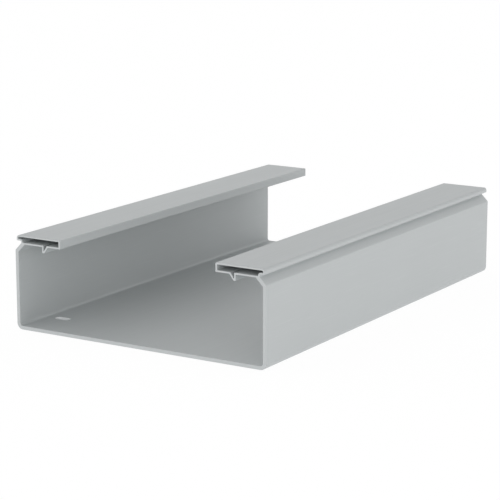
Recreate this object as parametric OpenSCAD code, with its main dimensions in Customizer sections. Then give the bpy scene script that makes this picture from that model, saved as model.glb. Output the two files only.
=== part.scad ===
// Solid cable tray: a one-piece extruded plastic channel with a closed floor and closed walls.
// A hollow flange turns in from the top of each wall, and the long opening lies between them.
// The section is drawn once, rounded at its corners, and extruded along the tray.
// The origin is at the middle of the underside. The tray runs along Y and opens upwards.
// All sizes are in millimetres.

/* [Overall] */
// Width across the outer faces of the two walls
tray_w = 210; // [185:1:320]
// Height from the underside to the top of the flanges
tray_h = 69.4; // [50:0.1:120]
// Length of the piece
tray_l = 343; // [120:1:2000]
// Clear width of the opening between the two lips
opening_w = 130; // [60:1:150]

/* [Floor and walls] */
// Thickness of the walls and of the shoulders above them
wall_t = 2.7; // [1.5:0.1:4]
// Thickness of the floor
floor_t = 2.7; // [1.5:0.1:4]
// Outer radius of the heel, where a wall meets the floor
heel_r = 4.7; // [3:0.1:8]

/* [Shoulder] */
// Distance from the top down to the line where the wall starts to lean in
shoulder_drop = 11; // [10.6:0.1:20]
// How far the shoulder leans in, measured on its outer side
shoulder_in = 5.3; // [4:0.1:6]
// Angle of the shoulder away from upright
shoulder_lean = 45; // [42:1:55]
// Outer radius of the bend at the foot of the shoulder
shoulder_r = 1.5; // [0.5:0.1:4]

/* [Flange] */
// Height of the hollow flange at its lip
flange_h = 6.4; // [5.5:0.1:9]
// Thickness of the plates, neck, nose and bead of the flange
skin_t = 1.2; // [0.8:0.1:1.6]
// Thickness of the upright lip along the opening
lip_t = 1.4; // [0.8:0.1:2.5]
// Radius of the outer edges of the lip
lip_r = 0.5; // [0.1:0.1:0.6]
// Radius of the small corners inside the hollow flange
inner_r = 0.3; // [0.1:0.1:0.5]

/* [Lid groove] */
// Height of the rounded nose over the groove that holds a lid
nose_h = 4; // [3.4:0.1:4.6]
// Distance from the outer face of the wall in to the tip of the nose
nose_set = 1.4; // [0:0.1:2.5]
// Radius of the upper edge of the nose
nose_r = 2.2; // [0.5:0.1:2.8]
// Radius of the lower edge of the nose
nose_low_r = 1; // [0.3:0.1:1.5]
// Radius at the back of the groove
groove_r = 0.8; // [0.2:0.1:1.2]

/* [Bead] */
// Distance from the face of the lip to the far side of the bead
bead_at = 16; // [8:0.5:20]
// Width of the bead where it leaves the flange
bead_w = 4.85; // [3.5:0.05:6]
// Depth of the bead below the flange
bead_h = 4.4; // [2:0.1:8]
// Width of the blunt tip of the bead
bead_tip_w = 1.9; // [1.4:0.1:2.8]
// Radius of the bends of the bead
bead_r = 0.5; // [0.2:0.1:0.9]

/* [Fixing slots] */
// Width of a slot, along the tray
slot_w = 6; // [3:0.1:10]
// Length of a slot from end to end, across the tray
slot_l = 12; // [11:0.5:20]
// Distance from the outer face of the wall to the middle of a slot
slot_side = 16.3; // [15:0.1:40]
// Distance from the end of the tray to the middle of a slot
slot_end = 32.5; // [8:0.5:50]

/* [Hidden] */

// Most that a rounded corner's straight facets may cut off its true arc
arc_error = 0.01;
// Facets of a round slot end
slot_fn = 64;
// How far a cutter passes both faces of the floor
cut_past = 1;

half_w = tray_w / 2;
lip_x = opening_w / 2;

// Outer side, from the foot of the shoulder up to the nose
shoulder_z = tray_h - shoulder_drop;
neck_x = half_w - shoulder_in;
neck_z = shoulder_z + shoulder_in / tan(shoulder_lean);
nose_x = half_w - nose_set;
nose_z = tray_h - nose_h;

// Inner side, one wall thickness inside the outer one
inner_x = half_w - wall_t;
inner_shoulder_z = shoulder_z - wall_t * tan(shoulder_lean / 2);
flange_z = tray_h - flange_h;
inner_shoulder_x = inner_x - (flange_z - inner_shoulder_z) * tan(shoulder_lean);
inner_heel_r = max(inner_r, heel_r - max(wall_t, floor_t));

// The bead has one upright leg and one that slopes towards the opening
bead_x = lip_x + bead_at;
bead_foot = [bead_x - bead_w, flange_z];
bead_tip = [bead_x - bead_tip_w, flange_z - bead_h];

// The chamber inside the flange, one skin thickness inside its outline
chamber_x = lip_x + lip_t;
chamber_low = flange_z + skin_t;
chamber_high = tray_h - skin_t;
groove_x = bead_x - skin_t;
slope = (bead_tip - bead_foot) / norm(bead_tip - bead_foot);
slope_face = bead_foot + skin_t * [-slope[1], slope[0]];

// Outline of the right half, from the heel up the outside and back down the inside.
// Each corner is [x, z, radius].
wall_corners = [
    [half_w, 0, heel_r],
    [half_w, shoulder_z, shoulder_r],
    [neck_x, neck_z, groove_r],
    [neck_x, nose_z, groove_r],
    [nose_x, nose_z, nose_low_r],
    [nose_x, tray_h, nose_r],
    [lip_x, tray_h, lip_r],
    [lip_x, flange_z, lip_r],
    [bead_foot[0], bead_foot[1], bead_r + skin_t],
    [bead_tip[0], bead_tip[1], bead_r],
    [bead_x, bead_tip[1], bead_r],
    [bead_x, flange_z, bead_r],
    [inner_shoulder_x, flange_z, inner_r],
    [inner_x, inner_shoulder_z, shoulder_r],
    [inner_x, floor_t, inner_heel_r]
];

// Outline of the chamber in the right flange, with the hollow of the bead below it
chamber_corners = [
    [chamber_x, chamber_high, inner_r],
    [chamber_x, chamber_low, inner_r],
    [slope_at_height(chamber_low), chamber_low, bead_r],
    [groove_x, slope_height_at(groove_x), inner_r],
    [groove_x, chamber_low, bead_r],
    [neck_x - skin_t, chamber_low, inner_r],
    [neck_x - skin_t, nose_z + skin_t, groove_r + skin_t],
    [nose_x - skin_t, nose_z + skin_t, inner_r],
    [nose_x - skin_t, chamber_high, nose_r - skin_t]
];

// Where the hollow side of the sloping leg stands at a height, and how high it is at an x
function slope_at_height(z) = slope_face[0] + (z - slope_face[1]) * slope[0] / slope[1];
function slope_height_at(x) = slope_face[1] + (x - slope_face[0]) * slope[1] / slope[0];

function unit(v) = v / norm(v);
function flat(corner) = [corner[0], corner[1]];
function turned(v, angle) = [
    v[0] * cos(angle) - v[1] * sin(angle),
    v[0] * sin(angle) + v[1] * cos(angle)
];
function mirrored(corners) = [
    for (i = [len(corners) - 1:-1:0]) [-corners[i][0], corners[i][1], corners[i][2]]
];

// Half of the angle between the two edges that meet at corner i
function half_angle(corners, i) =
    let (
        count = len(corners),
        back = unit(flat(corners[(i + count - 1) % count]) - flat(corners[i])),
        on = unit(flat(corners[(i + 1) % count]) - flat(corners[i]))
    )
    acos(max(-1, min(1, back * on))) / 2;

// Length that the radius of corner i takes from each of its edges
function reach(corners, i) = max(corners[i][2], 0.01) / tan(half_angle(corners, i));

// The same, cut down where two radii on one edge would take more than the edge
function fair_reach(corners, i) =
    let (
        count = len(corners),
        before = (i + count - 1) % count,
        after = (i + 1) % count,
        own = reach(corners, i),
        back = norm(flat(corners[before]) - flat(corners[i])) * own / (own + reach(corners, before)),
        on = norm(flat(corners[after]) - flat(corners[i])) * own / (own + reach(corners, after))
    )
    min(own, back, on);

// Points of the arc at corner i: tangent to both edges, from the one before to the one after
function arc(corners, i) =
    let (
        count = len(corners),
        tip = flat(corners[i]),
        back = unit(flat(corners[(i + count - 1) % count]) - tip),
        on = unit(flat(corners[(i + 1) % count]) - tip),
        half = half_angle(corners, i),
        taken = fair_reach(corners, i),
        radius = taken * tan(half),
        centre = tip + unit(back + on) * taken / cos(half),
        sweep = -sign(cross(back, on)) * (180 - 2 * half),
        facet = 2 * acos(max(0, 1 - arc_error / radius)),
        steps = ceil(abs(sweep) / facet)
    )
    [for (k = [0:steps]) centre + turned(tip + back * taken - centre, sweep * k / steps)];

module rounded_outline(corners) {
    polygon([for (i = [0:len(corners) - 1]) each arc(corners, i)]);
}

// The whole section: both halves of the outline, less the two chambers
module section() {
    difference() {
        rounded_outline(concat(wall_corners, mirrored(wall_corners)));
        rounded_outline(chamber_corners);
        rounded_outline(mirrored(chamber_corners));
    }
}

// Cutter for one slot through the floor, with round ends
module slot() {
    end_x = (slot_l - slot_w) / 2;
    cut_h = floor_t + 2 * cut_past;
    translate([0, 0, -cut_past]) {
        for (side = [-1, 1]) {
            translate([side * end_x, 0, 0])
                cylinder(h = cut_h, d = slot_w, $fn = slot_fn);
        }
        translate([-end_x, -slot_w / 2, 0])
            cube([2 * end_x, slot_w, cut_h]);
    }
}

module tray() {
    color([0.72, 0.74, 0.74])
    difference() {
        rotate([90, 0, 0])
            linear_extrude(height = tray_l, center = true)
                section();
        for (side = [-1, 1], end = [-1, 1]) {
            translate([side * (half_w - slot_side), end * (tray_l / 2 - slot_end), 0])
                slot();
        }
    }
}

tray();
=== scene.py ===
import math
import bpy
import numpy as np
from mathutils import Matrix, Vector
from mathutils.geometry import tessellate_polygon


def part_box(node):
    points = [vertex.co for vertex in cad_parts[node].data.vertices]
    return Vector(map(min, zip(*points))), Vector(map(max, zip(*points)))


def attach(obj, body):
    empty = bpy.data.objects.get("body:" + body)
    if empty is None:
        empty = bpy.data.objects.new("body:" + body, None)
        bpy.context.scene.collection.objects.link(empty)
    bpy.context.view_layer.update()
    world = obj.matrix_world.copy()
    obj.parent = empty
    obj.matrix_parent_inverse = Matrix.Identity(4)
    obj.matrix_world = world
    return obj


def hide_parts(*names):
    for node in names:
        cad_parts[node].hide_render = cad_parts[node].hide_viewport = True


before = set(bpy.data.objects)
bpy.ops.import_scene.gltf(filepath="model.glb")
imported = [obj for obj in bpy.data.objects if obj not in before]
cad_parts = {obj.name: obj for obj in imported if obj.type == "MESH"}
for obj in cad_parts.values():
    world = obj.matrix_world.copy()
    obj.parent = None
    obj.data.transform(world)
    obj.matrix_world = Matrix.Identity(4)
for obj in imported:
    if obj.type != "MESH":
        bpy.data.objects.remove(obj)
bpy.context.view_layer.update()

# The tray is looked at from its front right corner, from just above the flanges, through a
# long lens. The angles, the distance and the lens follow the vanishing lines of its edges.
MM = 0.001
view_azimuth = 31.826
view_elevation = 12.459
view_aim = Vector((-14.1 * MM, 0, 36.5 * MM))
view_distance = 1485 * MM
view_lens = 139.5

camera = bpy.data.objects.new("camera", bpy.data.cameras.new("camera"))
camera.rotation_euler = (math.radians(90 - view_elevation), 0, math.radians(view_azimuth))
camera.location = view_aim + camera.rotation_euler.to_matrix() @ Vector((0, 0, view_distance))
camera.data.lens = view_lens
camera.data.sensor_width = 36
camera.data.clip_end = 50
bpy.context.scene.collection.objects.link(camera)
bpy.context.scene.camera = camera

# The plastic is rigid PVC, light grey all through, with a satin skin. The die leaves fine lines
# along the drawn faces. The saw and the punch leave rougher ones, and wherever a tool strains
# the plastic it turns whitish. On the slot walls and the sawn ends the whitish tone is partly
# painted light, a lighter tone that stands in for the light falling on them.
plastic_colour = (0.503, 0.527, 0.531)
# Whitish colour of strained plastic, also used as painted light on the slot walls and sawn ends.
strain_and_painted_light_colour = (0.88, 0.89, 0.89)


def node(tree, kind, inputs=(), **settings):
    """A new node of that kind, with its settings and the values of its inputs."""
    made = tree.nodes.new(kind)
    for name, value in settings.items():
        setattr(made, name, value)
    for name, value in dict(inputs).items():
        made.inputs[name].default_value = value
    return made


def plastic_group():
    """Node group for every face of the plastic: slow drift of tone, skin, strain and painted
    light.

    The colour is the plastic's own times 1 - drift / 2 to 1 + drift / 2, by a noise some 60 mm
    across with a little of one 0.5 mm across. Its strain and painted light input mixes it towards
    the whitish colour: the plastic's strain, and on the slot walls and sawn ends partly painted
    light.
    Skin is the fine noise by itself.
    """
    group = bpy.data.node_groups.new("plastic", "ShaderNodeTree")
    for name, kind in (("Position", "Vector"), ("Drift", "Float"), ("Strain and painted light", "Float")):
        group.interface.new_socket(name, in_out="INPUT", socket_type="NodeSocket" + kind)
    for name, kind in (("Colour", "Color"), ("Skin", "Float")):
        group.interface.new_socket(name, in_out="OUTPUT", socket_type="NodeSocket" + kind)
    given = node(group, "NodeGroupInput")
    slow = node(group, "ShaderNodeTexNoise", {"Scale": 16, "Detail": 2})
    fine = node(group, "ShaderNodeTexNoise", {"Scale": 1900, "Detail": 3, "Roughness": 0.6})
    both = node(group, "ShaderNodeMix", {"Factor": 0.3})
    tone = node(group, "ShaderNodeMath", {1: -0.5}, operation="ADD")
    factor = node(group, "ShaderNodeMath", {2: 1.0}, operation="MULTIPLY_ADD")
    tint = node(group, "ShaderNodeVectorMath", {0: plastic_colour}, operation="SCALE")
    whiten = node(group, "ShaderNodeMix", {"B": strain_and_painted_light_colour}, data_type="VECTOR")
    result = node(group, "NodeGroupOutput")
    link = group.links.new
    link(given.outputs["Position"], slow.inputs["Vector"])
    link(given.outputs["Position"], fine.inputs["Vector"])
    link(slow.outputs["Fac"], both.inputs["A"])
    link(fine.outputs["Fac"], both.inputs["B"])
    link(both.outputs["Result"], tone.inputs[0])
    link(tone.outputs[0], factor.inputs[0])
    link(given.outputs["Drift"], factor.inputs[1])
    link(factor.outputs[0], tint.inputs["Scale"])
    link(given.outputs["Strain and painted light"], whiten.inputs["Factor"])
    link(tint.outputs[0], whiten.inputs["A"])
    link(whiten.outputs["Result"], result.inputs["Colour"])
    link(fine.outputs["Fac"], result.inputs["Skin"])
    return group


plastic = plastic_group()


def plastic_material(name, drift, strain_and_painted_light, roughness):
    """A satin plastic with the plastic group; returns it, its tree, shader, place and group."""
    material = bpy.data.materials.new(name)
    material.use_nodes = True
    tree = material.node_tree
    shader = tree.nodes["Principled BSDF"]
    shader.inputs["Roughness"].default_value = roughness
    shader.inputs["IOR"].default_value = 1.53
    place = node(tree, "ShaderNodeTexCoord").outputs["Object"]
    body = node(tree, "ShaderNodeGroup", node_tree=plastic)
    body.inputs["Drift"].default_value = drift
    body.inputs["Strain and painted light"].default_value = strain_and_painted_light
    tree.links.new(place, body.inputs["Position"])
    tree.links.new(body.outputs["Colour"], shader.inputs["Base Color"])
    return material, tree, shader, place, body


def raised(tree, shader, marks, skin, skin_share, depth):
    """Bumps the surface by tool marks with a share of the skin, depth from lowest to highest."""
    height = node(tree, "ShaderNodeMix", {"Factor": skin_share})
    bump = node(tree, "ShaderNodeBump", {"Strength": 1, "Distance": depth})
    tree.links.new(marks, height.inputs["A"])
    tree.links.new(skin, height.inputs["B"])
    tree.links.new(height.outputs["Result"], bump.inputs["Height"])
    tree.links.new(bump.outputs["Normal"], shader.inputs["Normal"])


def drawn_finish():
    """The drawn faces, with die lines along Y in two widths and a few rubbed ones.

    A noise stretched a hundredfold along Y gives lines 1.1 mm apart, and another gives lines
    0.3 mm apart. They change the height and the roughness, and the highest of the narrow
    lines are rubbed and slightly strained.
    """
    material, tree, shader, place, body = plastic_material(
        "drawn_plastic", drift=0.045, strain_and_painted_light=0, roughness=0.5)
    stretch = node(tree, "ShaderNodeMapping", {"Scale": (1, 0.01, 1)})
    wide = node(tree, "ShaderNodeTexNoise", {"Scale": 900, "Detail": 2})
    narrow = node(tree, "ShaderNodeTexNoise", {"Scale": 3300, "Detail": 1})
    lines = node(tree, "ShaderNodeMix", {"Factor": 0.4})
    gloss = node(tree, "ShaderNodeMapRange", {"From Min": 0.3, "From Max": 0.7,
                                              "To Min": 0.44, "To Max": 0.58})
    rubbed = node(tree, "ShaderNodeMapRange", {"From Min": 0.62, "From Max": 0.8,
                                               "To Min": 0, "To Max": 0.12})
    link = tree.links.new
    link(place, stretch.inputs["Vector"])
    link(stretch.outputs["Vector"], wide.inputs["Vector"])
    link(stretch.outputs["Vector"], narrow.inputs["Vector"])
    link(wide.outputs["Fac"], lines.inputs["A"])
    link(narrow.outputs["Fac"], lines.inputs["B"])
    link(lines.outputs["Result"], gloss.inputs["Value"])
    link(gloss.outputs["Result"], shader.inputs["Roughness"])
    link(narrow.outputs["Fac"], rubbed.inputs["Value"])
    link(rubbed.outputs["Result"], body.inputs["Strain and painted light"])
    raised(tree, shader, lines.outputs["Result"], body.outputs["Skin"],
           skin_share=0.2, depth=0.03 * MM)
    return material


def cut_finish():
    """The sawn ends and their scraped edges, with the fine arcs that the saw's teeth leave.

    The arcs are rings 0.9 mm apart, bent by noise, about the saw's spindle, which was 160 mm
    below the tray and 20 mm to the left of its middle. Their crests are strained, a whitening
    that is partly painted light, making the sawn ends lighter as the light falling on them does.
    """
    material, tree, shader, place, body = plastic_material(
        "cut_plastic", drift=0.06, strain_and_painted_light=0, roughness=0.62)
    spindle = node(tree, "ShaderNodeMapping", {"Location": (20 * MM, 0, 160 * MM)})
    arcs = node(tree, "ShaderNodeTexWave", {"Scale": 350, "Distortion": 3, "Detail": 2,
                                            "Detail Scale": 0.4},
                wave_type="RINGS", rings_direction="Y")
    # Whitening of the crests: strain, and partly painted light on the sawn ends.
    strain_and_painted_light = node(tree, "ShaderNodeMath", {1: 0.08}, operation="MULTIPLY")
    link = tree.links.new
    link(place, spindle.inputs["Vector"])
    link(spindle.outputs["Vector"], arcs.inputs["Vector"])
    link(arcs.outputs["Fac"], strain_and_painted_light.inputs[0])
    link(strain_and_painted_light.outputs[0], body.inputs["Strain and painted light"])
    raised(tree, shader, arcs.outputs["Fac"], body.outputs["Skin"],
           skin_share=0.4, depth=0.05 * MM)
    return material


def punched_finish():
    """The walls of the slots: strained all over, and scored upright by the punch.

    Their whitening is partly painted light: a lighter tone standing in for light through the
    slots.
    """
    # The strain of 0.45 is partly whitening by the punch and partly painted light on the slot
    # walls.
    material, tree, shader, place, body = plastic_material(
        "punched_plastic", drift=0.1, strain_and_painted_light=0.45, roughness=0.66)
    upright = node(tree, "ShaderNodeMapping", {"Scale": (1, 1, 0.06)})
    scores = node(tree, "ShaderNodeTexNoise", {"Scale": 4000, "Detail": 1})
    tree.links.new(place, upright.inputs["Vector"])
    tree.links.new(upright.outputs["Vector"], scores.inputs["Vector"])
    raised(tree, shader, scores.outputs["Fac"], body.outputs["Skin"],
           skin_share=0.3, depth=0.06 * MM)
    return material


DRAWN, CUT, PUNCHED = 0, 1, 2
finishes = [drawn_finish(), cut_finish(), punched_finish()]

# The tray is one extrusion of rigid light grey PVC. The melt leaves a die with this whole
# section, is pulled straight through a cooling bath, and is sawn to length. Its walls are
# solid, and its flanges are closed chambers of thinner skin.
half_width, half_length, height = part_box("tray")[1]
half_opening = 65 * MM

wall = 2.7 * MM
heel_radius = 4.7 * MM
shoulder_drop = 11 * MM
shoulder_in = 5.3 * MM
shoulder_radius = 1.5 * MM
shoulder_lean = math.radians(45)

flange_height = 6.4 * MM
skin = 1.2 * MM
lip = 1.4 * MM
lip_radius = 0.5 * MM
inner_radius = 0.3 * MM

nose_height = 4 * MM
nose_set = 1.4 * MM
nose_radius = 2.2 * MM
nose_low_radius = 1 * MM
groove_radius = 0.8 * MM

bead_at = 16 * MM
bead_width = 4.85 * MM
bead_depth = 4.4 * MM
bead_tip_width = 1.9 * MM
bead_radius = 0.5 * MM

shoulder_z = height - shoulder_drop
neck_x = half_width - shoulder_in
nose_x = half_width - nose_set
nose_z = height - nose_height
flange_z = height - flange_height
inner_x = half_width - wall
bead_x = half_opening + bead_at


def wall_corners():
    """Corners (x, z, radius) of the right half of the outline, with the plastic on their left.

    They run from the heel up the outside, over the nose to the lip, and back down the inside.
    The shoulder's inner line is its outer one moved in by the wall, so it bends
    wall * tan(lean / 2) lower and leans in until it meets the underside of the flange.
    """
    inner_z = shoulder_z - wall * math.tan(shoulder_lean / 2)
    meeting_x = inner_x - (flange_z - inner_z) * math.tan(shoulder_lean)
    return np.array([
        (half_width, 0, heel_radius),
        (half_width, shoulder_z, shoulder_radius),
        (neck_x, shoulder_z + shoulder_in / math.tan(shoulder_lean), groove_radius),
        (neck_x, nose_z, groove_radius),
        (nose_x, nose_z, nose_low_radius),
        (nose_x, height, nose_radius),
        (half_opening, height, lip_radius),
        (half_opening, flange_z, lip_radius),
        (bead_x - bead_width, flange_z, bead_radius + skin),
        (bead_x - bead_tip_width, flange_z - bead_depth, bead_radius),
        (bead_x, flange_z - bead_depth, bead_radius),
        (bead_x, flange_z, bead_radius),
        (meeting_x, flange_z, inner_radius),
        (inner_x, inner_z, shoulder_radius),
        (inner_x, wall, heel_radius - wall),
    ])


def chamber_corners():
    """Corners (x, z, radius) of the hollow in the right flange, with the plastic on their left.

    Every side lies one skin inside the flange. The hollow side of the bead's sloping leg is the
    leg's outer line moved in along its normal; it runs from the level floor of the chamber
    down to the upright leg.
    """
    floor_z = flange_z + skin
    upright_x = bead_x - skin
    slope = np.array((bead_width - bead_tip_width, -bead_depth))
    slope = slope / np.linalg.norm(slope)
    x, z = np.array((bead_x - bead_width, flange_z)) + skin * np.array((-slope[1], slope[0]))
    return np.array([
        (half_opening + lip, height - skin, inner_radius),
        (nose_x - skin, height - skin, nose_radius - skin),
        (nose_x - skin, nose_z + skin, inner_radius),
        (neck_x - skin, nose_z + skin, groove_radius + skin),
        (neck_x - skin, floor_z, inner_radius),
        (upright_x, floor_z, bead_radius),
        (upright_x, z + (upright_x - x) * slope[1] / slope[0], inner_radius),
        (x + (floor_z - z) * slope[0] / slope[1], floor_z, bead_radius),
        (half_opening + lip, floor_z, inner_radius),
    ])


def other_hand(corners):
    """The corners mirrored to negative x, in reverse, so that the plastic stays on their left."""
    return corners[::-1] * (-1, 1, 1)


arc_parts = 10
hold_distance = 0.25 * MM
hold_share = 0.3


def rounded(corners):
    """Closed outline through the corners (u, v, radius), with an arc at each.

    An arc takes radius / tan(half angle) from both its edges, or its fair share of an edge
    that is too short for two arcs. Its centre lies on the bisector, taken / cos(half angle)
    from the corner. Two more points on each straight stretch keep it flat under smooth shading.
    They lie at the hold distance from its ends, or at the hold's share of a short stretch.
    """
    tip = corners[:, :2]
    back = np.roll(tip, 1, axis=0) - tip
    on = np.roll(tip, -1, axis=0) - tip
    back_length = np.linalg.norm(back, axis=1)
    on_length = np.linalg.norm(on, axis=1)
    back /= back_length[:, None]
    on /= on_length[:, None]
    half = np.arccos(np.clip((back * on).sum(1), -1, 1)) / 2
    wish = corners[:, 2] / np.tan(half)
    taken = np.minimum(wish, wish * np.minimum(
        back_length / (wish + np.roll(wish, 1)), on_length / (wish + np.roll(wish, -1))))
    bisector = (back + on) / np.linalg.norm(back + on, axis=1)[:, None]
    centre = tip + bisector * (taken / np.cos(half))[:, None]
    spoke = tip + back * taken[:, None] - centre
    side = np.sign(on[:, 0] * back[:, 1] - on[:, 1] * back[:, 0])
    angle = (side * (np.pi - 2 * half))[:, None] * np.linspace(0, 1, arc_parts + 1)
    arc = centre[:, None] + np.stack([
        spoke[:, :1] * np.cos(angle) - spoke[:, 1:] * np.sin(angle),
        spoke[:, :1] * np.sin(angle) + spoke[:, 1:] * np.cos(angle)], axis=2)
    stretch = np.roll(arc[:, 0], -1, axis=0) - arc[:, -1]
    length = np.linalg.norm(stretch, axis=1)[:, None]
    share = np.minimum(hold_distance / np.maximum(length, hold_distance), hold_share)
    held = np.stack([arc[:, -1] + stretch * share, arc[:, -1] + stretch * (1 - share)], axis=1)
    return np.concatenate([arc, held], axis=1).reshape(-1, 2)


def drawn(outline, stations):
    """Rings of an outline drawn along a third axis, and the quads between them.

    Ring i is the outline moved to its left by the second number of station i. The first
    number is the ring's place on the axis. A quad faces to the outline's right if the
    outline lies in X and Z and is drawn along Y.
    """
    along = np.roll(outline, -1, axis=0) - np.roll(outline, 1, axis=0)
    left = np.stack([-along[:, 1], along[:, 0]], axis=1) / np.linalg.norm(along, axis=1)[:, None]
    rings = outline[None] + left[None] * stations[:, 1, None, None]
    place = np.broadcast_to(stations[:, 0, None, None], rings.shape[:2] + (1,))
    ring, point = np.indices((len(stations) - 1, len(outline)))
    after = (point + 1) % len(outline)
    here, there = ring * len(outline), (ring + 1) * len(outline)
    quads = np.stack([here + point, there + point, there + after, here + after], axis=2)
    return np.concatenate([rings, place], axis=2), quads.reshape(-1, 4)


def new_piece(name, points, faces, materials, numbers):
    """An object at the origin; numbers says which of the materials each face has."""
    mesh = bpy.data.meshes.new(name)
    mesh.from_pydata(points.tolist(), [], faces)
    for material in materials:
        mesh.materials.append(material)
    mesh.polygons.foreach_set("material_index", np.asarray(numbers, dtype=np.int32))
    mesh.update()
    piece = bpy.data.objects.new(name, mesh)
    bpy.context.scene.collection.objects.link(piece)
    return piece


edge_break = 0.15 * MM
ring_count = 24


def extrusion():
    """The sawn length: the outline and both chambers drawn along Y, and a cap at either end.

    The last ring at each end steps into the plastic by the edge break, which the deburring
    blade leaves. A cap is the outline less the chambers, cut into triangles that turn
    anticlockwise as seen from outside.
    """
    right, hollow = wall_corners(), chamber_corners()
    outlines = [rounded(np.concatenate([right, other_hand(right)])),
                rounded(hollow), rounded(other_hand(hollow))]
    stations = np.zeros((ring_count + 2, 2))
    stations[1:-1, 0] = np.linspace(-1, 1, ring_count) * (half_length - edge_break)
    stations[[0, -1]] = (-half_length, edge_break), (half_length, edge_break)
    points, faces, numbers, rims = [], [], [], []
    for outline in outlines:
        base = sum(map(len, points))
        rings, quads = drawn(outline, stations)
        number = np.full((ring_count + 1, len(outline)), DRAWN)
        number[[0, -1]] = CUT
        points.append(rings[..., [0, 2, 1]].reshape(-1, 3))
        faces += (quads + base).tolist()
        numbers += number.ravel().tolist()
        rims.append((rings[0, :, :2], base + np.arange(len(outline))))
    flat = np.concatenate([rim for rim, first in rims])
    front = np.concatenate([first for rim, first in rims])
    back = np.concatenate([first + (ring_count + 1) * len(rim) for rim, first in rims])
    cap = np.array(tessellate_polygon([[Vector((*p, 0)) for p in rim] for rim, first in rims]))
    a, b, c = flat[cap].transpose(1, 0, 2)
    area = (b - a)[:, 0] * (c - a)[:, 1] - (b - a)[:, 1] * (c - a)[:, 0]
    cap = np.where(area[:, None] > 0, cap, cap[:, ::-1])
    faces += front[cap].tolist() + back[cap[:, ::-1]].tolist()
    numbers += [CUT] * (2 * len(cap))
    return new_piece("drawn_tray", np.concatenate(points), faces, finishes, numbers)


tray = extrusion()

# The four fixing slots are punched through the floor after sawing, one near each corner and
# long across the tray, so that the screws can take up play. The punch leaves a broken edge.
slot_width = 6 * MM
slot_length = 12 * MM
slot_from_side = 16.3 * MM
slot_from_end = 32.5 * MM
slot_points = 48
punch_reach = 4 * edge_break


def punch():
    """The four cutters: closed upright solids that flare where they leave the floor.

    The outline is two half circles as wide as the slot, at angle a:
    x = sign(cos a) * (length - width) / 2 + width / 2 * cos a, y = width / 2 * sin a.
    Its rings stand at heights z and grow outwards by as much as z lies past the broken edge
    of either face. The sides are turned over, as X and Y swap hands with the section.
    """
    angle = (np.arange(slot_points) + 0.5) * 2 * np.pi / slot_points
    outline = slot_width / 2 * np.stack([np.cos(angle), np.sin(angle)], axis=1)
    outline[:, 0] += np.sign(outline[:, 0]) * (slot_length - slot_width) / 2
    flare = punch_reach + edge_break
    stations = np.array([(-punch_reach, -flare), (edge_break, 0),
                         (wall - edge_break, 0), (wall + punch_reach, -flare)])
    rings, quads = drawn(outline, stations)
    count = len(stations) * slot_points
    lids = [list(range(slot_points))[::-1], list(range(count - slot_points, count))]
    places = [(x * (half_width - slot_from_side), y * (half_length - slot_from_end), 0)
              for x in (-1, 1) for y in (-1, 1)]
    points = [rings.reshape(-1, 3) + place for place in places]
    faces = [[corner + number * count for corner in face]
             for number in range(len(places)) for face in quads[:, ::-1].tolist() + lids]
    return new_piece("punch", np.concatenate(points), faces, finishes, [PUNCHED] * len(faces))


def cut_with(piece, cutter):
    """Cuts the cutter out of the piece's mesh for good and throws the cutter away."""
    cut = piece.modifiers.new("cut", "BOOLEAN")
    cut.solver = "EXACT"
    cut.object = cutter
    solid = bpy.data.meshes.new_from_object(
        piece.evaluated_get(bpy.context.evaluated_depsgraph_get()))
    piece.modifiers.clear()
    piece.data = solid
    bpy.data.objects.remove(cutter)


sharp_bend = math.radians(25)
cut_with(tray, punch())
tray.data.polygons.foreach_set("use_smooth", [True] * len(tray.data.polygons))
tray.data.set_sharp_from_angle(angle=sharp_bend)

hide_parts("tray")
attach(tray, "root")

# The tray lies on a light table, a wide sheet of matt white acrylic lit softly from below, so
# that some light reaches the undersides of the flanges. The sheet scatters light as white card
# does; for the camera it is lifted towards pure white and keeps a faint shadow.
table_reach = 12
table_drop = 0.05 * MM
table_white = 0.88
table_glow = 0.35
table_lift = 0.92


def seen_directly(tree):
    """A socket that is 1 for rays from the camera, mirrors and glass, and 0 for all others."""
    path = node(tree, "ShaderNodeLightPath")
    mirrored = node(tree, "ShaderNodeMath", operation="ADD")
    direct = node(tree, "ShaderNodeMath", operation="ADD", use_clamp=True)
    tree.links.new(path.outputs["Is Glossy Ray"], mirrored.inputs[0])
    tree.links.new(path.outputs["Is Transmission Ray"], mirrored.inputs[1])
    tree.links.new(path.outputs["Is Camera Ray"], direct.inputs[0])
    tree.links.new(mirrored.outputs[0], direct.inputs[1])
    return direct.outputs[0]


def white_table():
    """A level square just under the tray, and its material."""
    corners = np.array([(-1, -1), (1, -1), (1, 1), (-1, 1)]) * table_reach
    points = np.column_stack([corners, np.full(4, -table_drop)])
    material = bpy.data.materials.new("white_acrylic")
    material.use_nodes = True
    tree = material.node_tree
    sheet = tree.nodes["Principled BSDF"]
    sheet.inputs["Base Color"].default_value = (table_white, table_white, table_white, 1)
    sheet.inputs["Roughness"].default_value = 0.9
    sheet.inputs["Specular IOR Level"].default_value = 0
    sheet.inputs["Emission Color"].default_value = (1, 1, 1, 1)
    sheet.inputs["Emission Strength"].default_value = table_glow
    white = node(tree, "ShaderNodeEmission", {"Strength": 1})
    lift = node(tree, "ShaderNodeMath", {1: table_lift}, operation="MULTIPLY")
    mix = node(tree, "ShaderNodeMixShader")
    link = tree.links.new
    link(seen_directly(tree), lift.inputs[0])
    link(lift.outputs[0], mix.inputs[0])
    link(sheet.outputs[0], mix.inputs[1])
    link(white.outputs[0], mix.inputs[2])
    link(mix.outputs[0], tree.nodes["Material Output"].inputs["Surface"])
    new_piece("table", points, [[0, 1, 2, 3]], [material], [0])


white_table()

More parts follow.
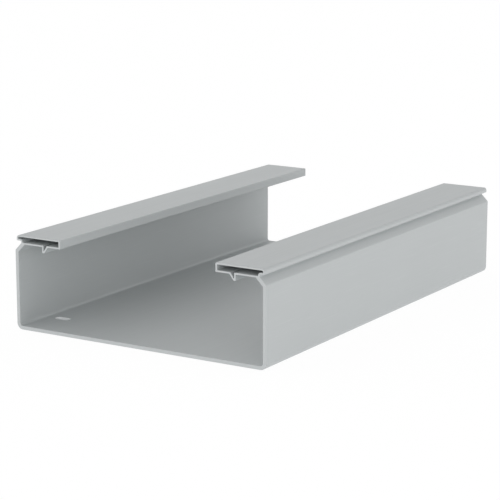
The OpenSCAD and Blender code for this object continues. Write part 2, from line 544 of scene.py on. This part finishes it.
# The studio is a white tent, brightest at its left and its back, and dimmest at its roof and its
# right side. Two soft boxes stand on the table at the right, one behind and one in front, to
# even out the walls.
tent_far = (0.53, 1.24, 0.4)
tent_near = (1.34, 1.02, 0.4)
lamps = {
    "back_box": ((2, 1.6, 0.4), (1.2, 0.76), 4),
    "front_box": ((1.9, -1.9, 0.4), (1.2, 0.76), 7.4),
}


def studio():
    """The tent as the world, and the lamps.

    Light from direction d has strength sum(max(d, 0)^2 * far) + sum(max(-d, 0)^2 * near),
    with one number of far and near for each of X, Y and Z. The camera sees plain white.
    Each lamp has a place, a width and a height in metres and a power in watts, and faces
    the tray.
    """
    scene = bpy.context.scene
    scene.view_settings.view_transform = "Standard"
    world = bpy.data.worlds.new("tent")
    scene.world = world
    world.use_nodes = True
    tree = world.node_tree
    glow = tree.nodes["Background"]
    glow.inputs["Color"].default_value = (1, 1, 1, 1)
    white = node(tree, "ShaderNodeBackground", {"Color": (1, 1, 1, 1), "Strength": 1})
    direction = node(tree, "ShaderNodeTexCoord").outputs["Generated"]
    total = node(tree, "ShaderNodeMath", operation="ADD")
    link = tree.links.new
    for number, (sign, sides) in enumerate(((1, tent_far), (-1, tent_near))):
        turned = node(tree, "ShaderNodeVectorMath", {"Scale": sign}, operation="SCALE")
        toward = node(tree, "ShaderNodeVectorMath", operation="MAXIMUM")
        square = node(tree, "ShaderNodeVectorMath", operation="MULTIPLY")
        strength = node(tree, "ShaderNodeVectorMath", {1: sides}, operation="DOT_PRODUCT")
        link(direction, turned.inputs[0])
        link(turned.outputs[0], toward.inputs[0])
        link(toward.outputs[0], square.inputs[0])
        link(toward.outputs[0], square.inputs[1])
        link(square.outputs[0], strength.inputs[0])
        link(strength.outputs["Value"], total.inputs[number])
    mix = node(tree, "ShaderNodeMixShader")
    link(total.outputs[0], glow.inputs["Strength"])
    link(seen_directly(tree), mix.inputs[0])
    link(glow.outputs[0], mix.inputs[1])
    link(white.outputs[0], mix.inputs[2])
    link(mix.outputs[0], tree.nodes["World Output"].inputs["Surface"])
    for name, (place, size, power) in lamps.items():
        light = bpy.data.lights.new(name, "AREA")
        light.shape = "RECTANGLE"
        light.size, light.size_y = size
        light.energy = power
        lamp = bpy.data.objects.new(name, light)
        lamp.location = place
        lamp.rotation_euler = (Vector(place) - view_aim).to_track_quat("Z", "Y").to_euler()
        lamp.visible_camera = False
        scene.collection.objects.link(lamp)


studio()
